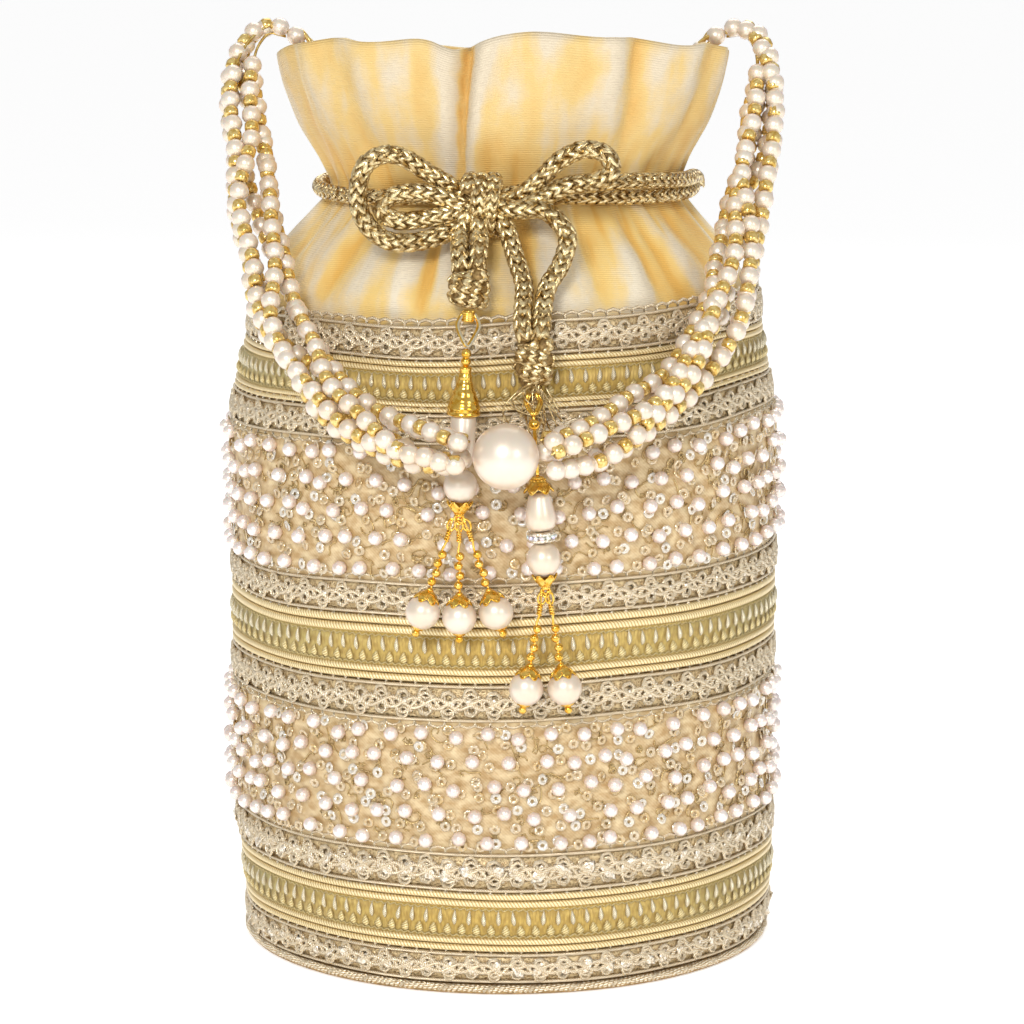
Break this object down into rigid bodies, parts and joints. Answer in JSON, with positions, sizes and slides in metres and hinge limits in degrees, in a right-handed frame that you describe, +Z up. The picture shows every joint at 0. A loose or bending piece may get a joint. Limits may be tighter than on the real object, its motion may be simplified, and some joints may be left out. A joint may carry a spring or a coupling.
{
  "type": "potli bag",
  "caption": "Round drawstring potli bag with braid bands, pearl embroidered panels, gathered velvet neck, tied cord with bead tassels and a pearl strand handle.",
  "frame": {"origin": "centre of the underside of the base, on the surface that the bag stands on", "axes": "+Z up along the bag's height, -Y to the front where the bow and tassels hang, +X to the viewer's right"},
  "size_m": [0.1453, 0.1689, 0.2415],
  "materials": {
    "silver_lace": "metallic silver and champagne gimp lace",
    "pale_gold_piping": "pale gold corded piping",
    "gold_ribbon": "golden yellow ribbon with silver stitches",
    "base_braid": "champagne braid",
    "satin": "satin",
    "lining_satin": "satin lining",
    "board": "covered board",
    "silk_velvet": "golden yellow silk velvet with a cream sheen",
    "embroidered_satin": "peach cream satin with pearls, sequins and metallic thread",
    "knitted_cord": "knitted metallic tubular cord",
    "pearl": "imitation pearl lustre",
    "gold": "bright gold plated metal",
    "crystal": "faceted crystal in a silver ring"
  },
  "bodies": {
    "bag": {"bottom_lower_lace": "silver_lace", "bottom_lower_piping": "pale_gold_piping", "bottom_ribbon": "gold_ribbon", "bottom_upper_piping": "pale_gold_piping", "bottom_upper_lace": "silver_lace", "middle_lower_lace": "silver_lace", "middle_lower_piping": "pale_gold_piping", "middle_ribbon": "gold_ribbon", "middle_upper_piping": "pale_gold_piping", "middle_upper_lace": "silver_lace", "top_lower_lace": "silver_lace", "top_lower_piping": "pale_gold_piping", "top_ribbon": "gold_ribbon", "top_upper_piping": "pale_gold_piping", "top_upper_lace": "silver_lace", "base_panel": "base_braid", "body_wall": "satin", "lining": "lining_satin", "base_board": "board", "neck_fabric": "silk_velvet", "pearl_panel_lower": "embroidered_satin", "pearl_panel_upper": "embroidered_satin", "drawstring": "knitted_cord", "bow_knot": "knitted_cord", "end_knot_left": "knitted_cord", "end_knot_right": "knitted_cord", "bow_loop_left_upper": "knitted_cord", "bow_loop_left_lower": "knitted_cord", "bow_loop_right_upper": "knitted_cord", "tail_left_outer": "knitted_cord", "tail_left_inner": "knitted_cord", "tail_right_outer": "knitted_cord", "tail_right_inner": "knitted_cord", "handle_anchor_left": "pearl", "handle_anchor_right": "pearl"},
    "handle": {"handle_strands_left": "pearl", "handle_strands_right": "pearl", "large_pearl": "pearl"},
    "left_tassel": {"left_tassel_hook": "gold", "left_tassel_cone": "gold", "left_tassel_bead": "pearl", "left_tassel_pearl": "pearl", "left_tassel_cap": "gold"},
    "right_tassel": {"right_tassel_hook": "gold", "right_tassel_wire": "gold", "right_tassel_flower_cap": "gold", "right_tassel_drop_bead": "pearl", "right_tassel_crystal_ring": "crystal", "right_tassel_pearl": "pearl", "right_tassel_cap": "gold"},
    "left_drop_1": {"left_drop_1_pin": "gold", "left_drop_1_pearl": "pearl"},
    "left_drop_2": {"left_drop_2_pin": "gold", "left_drop_2_pearl": "pearl"},
    "left_drop_3": {"left_drop_3_pin": "gold", "left_drop_3_pearl": "pearl"},
    "right_drop_1": {"right_drop_1_pin": "gold", "right_drop_1_pearl": "pearl"},
    "right_drop_2": {"right_drop_2_pin": "gold", "right_drop_2_pearl": "pearl"}
  },
  "joints": [
    {"name": "handle_swing", "type": "hinge", "parent": "bag", "child": "handle", "pos_m": [0, 0, 0.2375], "axis": [-1, 0, 0], "range_deg": [0, 170]},
    {"name": "left_tassel_sway", "type": "hinge", "parent": "bag", "child": "left_tassel", "pos_m": [-0.0092, -0.0725, 0.1723], "axis": [0, 1, 0], "range_deg": [-2, 5]},
    {"name": "right_tassel_sway", "type": "hinge", "parent": "bag", "child": "right_tassel", "pos_m": [0.0064, -0.0755, 0.153], "axis": [0, -1, 0], "range_deg": [-2, 5]},
    {"name": "left_drop_1_swing", "type": "hinge", "parent": "left_tassel", "child": "left_drop_1", "pos_m": [-0.01273, -0.0775, 0.12331], "axis": [-1, 0, 0], "range_deg": [0, 40]},
    {"name": "left_drop_2_swing", "type": "hinge", "parent": "left_tassel", "child": "left_drop_2", "pos_m": [-0.01143, -0.0775, 0.12325], "axis": [-1, 0, 0], "range_deg": [0, 40]},
    {"name": "left_drop_3_swing", "type": "hinge", "parent": "left_tassel", "child": "left_drop_3", "pos_m": [-0.01013, -0.0775, 0.12319], "axis": [-1, 0, 0], "range_deg": [0, 40]},
    {"name": "right_drop_1_swing", "type": "hinge", "parent": "right_tassel", "child": "right_drop_1", "pos_m": [0.00909, -0.0785, 0.10527], "axis": [-1, 0, 0], "range_deg": [0, 40]},
    {"name": "right_drop_2_swing", "type": "hinge", "parent": "right_tassel", "child": "right_drop_2", "pos_m": [0.01038, -0.0785, 0.10536], "axis": [-1, 0, 0], "range_deg": [0, 40]}
  ]
}
